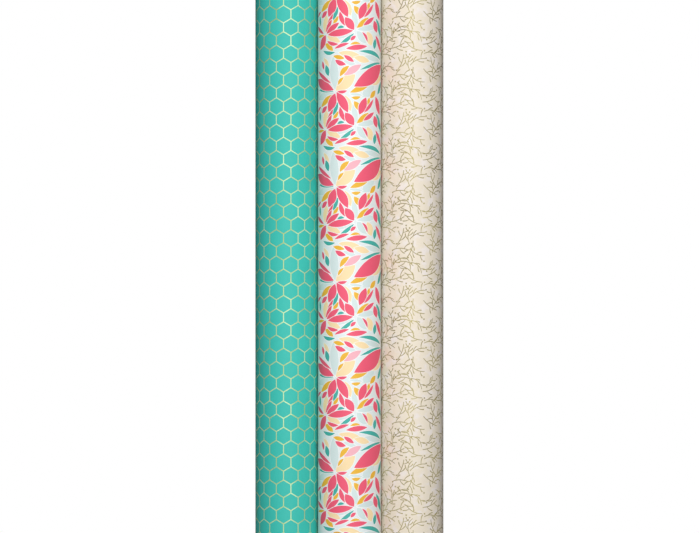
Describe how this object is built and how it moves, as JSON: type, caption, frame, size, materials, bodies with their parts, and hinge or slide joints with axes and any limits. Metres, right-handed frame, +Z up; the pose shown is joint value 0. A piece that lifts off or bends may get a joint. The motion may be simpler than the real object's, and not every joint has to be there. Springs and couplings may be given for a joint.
{
  "type": "gift wrapping paper roll set",
  "caption": "Upright gift wrap rolls, each a printed sheet wound on a board core tube, with a taped free edge that peels and opens.",
  "frame": {"origin": "on the floor, under the centre of the set of rolls", "axes": "+Z up along the rolls, +X from the left roll to the right one, +Y to the back, where the free edges are"},
  "size_m": [0.1422, 0.0566, 0.762],
  "materials": {
    "hexagon_print": "satin coated paper with a foil grid",
    "leaf_print": "satin coated paper with a leaf print",
    "sprig_print": "satin coated paper with foil sprigs",
    "core_board": "spiral-wound grey-brown board",
    "core_glue": "dried adhesive",
    "tape_film": "clear film"
  },
  "bodies": {
    "leaf_roll": {"leaf_core_tube": "core_board", "leaf_core_glue": "core_glue", "leaf_wound_web": "leaf_print"},
    "leaf_tail_1": {"leaf_tail_panel_1": "leaf_print"},
    "leaf_tail_2": {"leaf_tail_panel_2": "leaf_print"},
    "leaf_tail_3": {"leaf_tail_panel_3": "leaf_print"},
    "leaf_tail_4": {"leaf_tail_panel_4": "leaf_print"},
    "leaf_tail_5": {"leaf_tail_panel_5": "leaf_print", "leaf_tape_anchors": "tape_film"},
    "leaf_tape": {"leaf_tape_flaps": "tape_film"},
    "hexagon_roll": {"hexagon_core_tube": "core_board", "hexagon_core_glue": "core_glue", "hexagon_wound_web": "hexagon_print"},
    "hexagon_tail_1": {"hexagon_tail_panel_1": "hexagon_print"},
    "hexagon_tail_2": {"hexagon_tail_panel_2": "hexagon_print"},
    "hexagon_tail_3": {"hexagon_tail_panel_3": "hexagon_print"},
    "hexagon_tail_4": {"hexagon_tail_panel_4": "hexagon_print"},
    "hexagon_tail_5": {"hexagon_tail_panel_5": "hexagon_print", "hexagon_tape_anchors": "tape_film"},
    "hexagon_tape": {"hexagon_tape_flaps": "tape_film"},
    "sprig_roll": {"sprig_core_tube": "core_board", "sprig_core_glue": "core_glue", "sprig_wound_web": "sprig_print"},
    "sprig_tail_1": {"sprig_tail_panel_1": "sprig_print"},
    "sprig_tail_2": {"sprig_tail_panel_2": "sprig_print"},
    "sprig_tail_3": {"sprig_tail_panel_3": "sprig_print"},
    "sprig_tail_4": {"sprig_tail_panel_4": "sprig_print"},
    "sprig_tail_5": {"sprig_tail_panel_5": "sprig_print", "sprig_tape_anchors": "tape_film"},
    "sprig_tape": {"sprig_tape_flaps": "tape_film"}
  },
  "joints": [
    {"name": "hexagon_roll_slide", "type": "slide", "parent": "leaf_roll", "child": "hexagon_roll", "axis": [-1, 0, 0], "range_m": [0, 0.12]},
    {"name": "sprig_roll_slide", "type": "slide", "parent": "leaf_roll", "child": "sprig_roll", "axis": [1, 0, 0], "range_m": [0, 0.12]},
    {"name": "hexagon_tail_1_hinge", "type": "hinge", "parent": "hexagon_roll", "child": "hexagon_tail_1", "pos_m": [-0.02583, 0.01456, 0.381], "axis": [0, 0, -1], "range_deg": [0, 22]},
    {"name": "hexagon_tail_2_hinge", "type": "hinge", "parent": "hexagon_tail_1", "child": "hexagon_tail_2", "pos_m": [-0.03115, 0.02193, 0.381], "axis": [0, 0, -1], "range_deg": [0, 22]},
    {"name": "hexagon_tail_3_hinge", "type": "hinge", "parent": "hexagon_tail_2", "child": "hexagon_tail_3", "pos_m": [-0.03886, 0.02677, 0.381], "axis": [0, 0, -1], "range_deg": [0, 22]},
    {"name": "hexagon_tail_4_hinge", "type": "hinge", "parent": "hexagon_tail_3", "child": "hexagon_tail_4", "pos_m": [-0.04782, 0.02837, 0.381], "axis": [0, 0, -1], "range_deg": [0, 22]},
    {"name": "hexagon_tail_5_hinge", "type": "hinge", "parent": "hexagon_tail_4", "child": "hexagon_tail_5", "pos_m": [-0.05674, 0.0265, 0.381], "axis": [0, 0, -1], "range_deg": [0, 22]},
    {"name": "hexagon_tape_peel", "type": "hinge", "parent": "hexagon_tail_5", "child": "hexagon_tape", "pos_m": [-0.06439, 0.02148, 0.381], "axis": [0, 0, -1], "range_deg": [0, 140]},
    {"name": "leaf_tail_1_hinge", "type": "hinge", "parent": "leaf_roll", "child": "leaf_tail_1", "pos_m": [0.02157, 0.00556, 0.381], "axis": [0, 0, -1], "range_deg": [0, 22]},
    {"name": "leaf_tail_2_hinge", "type": "hinge", "parent": "leaf_tail_1", "child": "leaf_tail_2", "pos_m": [0.01625, 0.01293, 0.381], "axis": [0, 0, -1], "range_deg": [0, 22]},
    {"name": "leaf_tail_3_hinge", "type": "hinge", "parent": "leaf_tail_2", "child": "leaf_tail_3", "pos_m": [0.00855, 0.01777, 0.381], "axis": [0, 0, -1], "range_deg": [0, 22]},
    {"name": "leaf_tail_4_hinge", "type": "hinge", "parent": "leaf_tail_3", "child": "leaf_tail_4", "pos_m": [-0.00042, 0.01937, 0.381], "axis": [0, 0, -1], "range_deg": [0, 22]},
    {"name": "leaf_tail_5_hinge", "type": "hinge", "parent": "leaf_tail_4", "child": "leaf_tail_5", "pos_m": [-0.00934, 0.0175, 0.381], "axis": [0, 0, -1], "range_deg": [0, 22]},
    {"name": "leaf_tape_peel", "type": "hinge", "parent": "leaf_tail_5", "child": "leaf_tape", "pos_m": [-0.01698, 0.01248, 0.381], "axis": [0, 0, -1], "range_deg": [0, 140]},
    {"name": "sprig_tail_1_hinge", "type": "hinge", "parent": "sprig_roll", "child": "sprig_tail_1", "pos_m": [0.06898, 0.01456, 0.381], "axis": [0, 0, -1], "range_deg": [0, 22]},
    {"name": "sprig_tail_2_hinge", "type": "hinge", "parent": "sprig_tail_1", "child": "sprig_tail_2", "pos_m": [0.06365, 0.02193, 0.381], "axis": [0, 0, -1], "range_deg": [0, 22]},
    {"name": "sprig_tail_3_hinge", "type": "hinge", "parent": "sprig_tail_2", "child": "sprig_tail_3", "pos_m": [0.05595, 0.02677, 0.381], "axis": [0, 0, -1], "range_deg": [0, 22]},
    {"name": "sprig_tail_4_hinge", "type": "hinge", "parent": "sprig_tail_3", "child": "sprig_tail_4", "pos_m": [0.04699, 0.02837, 0.381], "axis": [0, 0, -1], "range_deg": [0, 22]},
    {"name": "sprig_tail_5_hinge", "type": "hinge", "parent": "sprig_tail_4", "child": "sprig_tail_5", "pos_m": [0.03807, 0.0265, 0.381], "axis": [0, 0, -1], "range_deg": [0, 22]},
    {"name": "sprig_tape_peel", "type": "hinge", "parent": "sprig_tail_5", "child": "sprig_tape", "pos_m": [0.03042, 0.02148, 0.381], "axis": [0, 0, -1], "range_deg": [0, 140]}
  ],
  "couplings": [
    {"joint": "hexagon_tail_2_hinge", "follows": "hexagon_tail_1_hinge", "ratio": 1},
    {"joint": "hexagon_tail_3_hinge", "follows": "hexagon_tail_1_hinge", "ratio": 1},
    {"joint": "hexagon_tail_4_hinge", "follows": "hexagon_tail_1_hinge", "ratio": 1},
    {"joint": "hexagon_tail_5_hinge", "follows": "hexagon_tail_1_hinge", "ratio": 1},
    {"joint": "leaf_tail_2_hinge", "follows": "leaf_tail_1_hinge", "ratio": 1},
    {"joint": "leaf_tail_3_hinge", "follows": "leaf_tail_1_hinge", "ratio": 1},
    {"joint": "leaf_tail_4_hinge", "follows": "leaf_tail_1_hinge", "ratio": 1},
    {"joint": "leaf_tail_5_hinge", "follows": "leaf_tail_1_hinge", "ratio": 1},
    {"joint": "sprig_tail_2_hinge", "follows": "sprig_tail_1_hinge", "ratio": 1},
    {"joint": "sprig_tail_3_hinge", "follows": "sprig_tail_1_hinge", "ratio": 1},
    {"joint": "sprig_tail_4_hinge", "follows": "sprig_tail_1_hinge", "ratio": 1},
    {"joint": "sprig_tail_5_hinge", "follows": "sprig_tail_1_hinge", "ratio": 1}
  ]
}
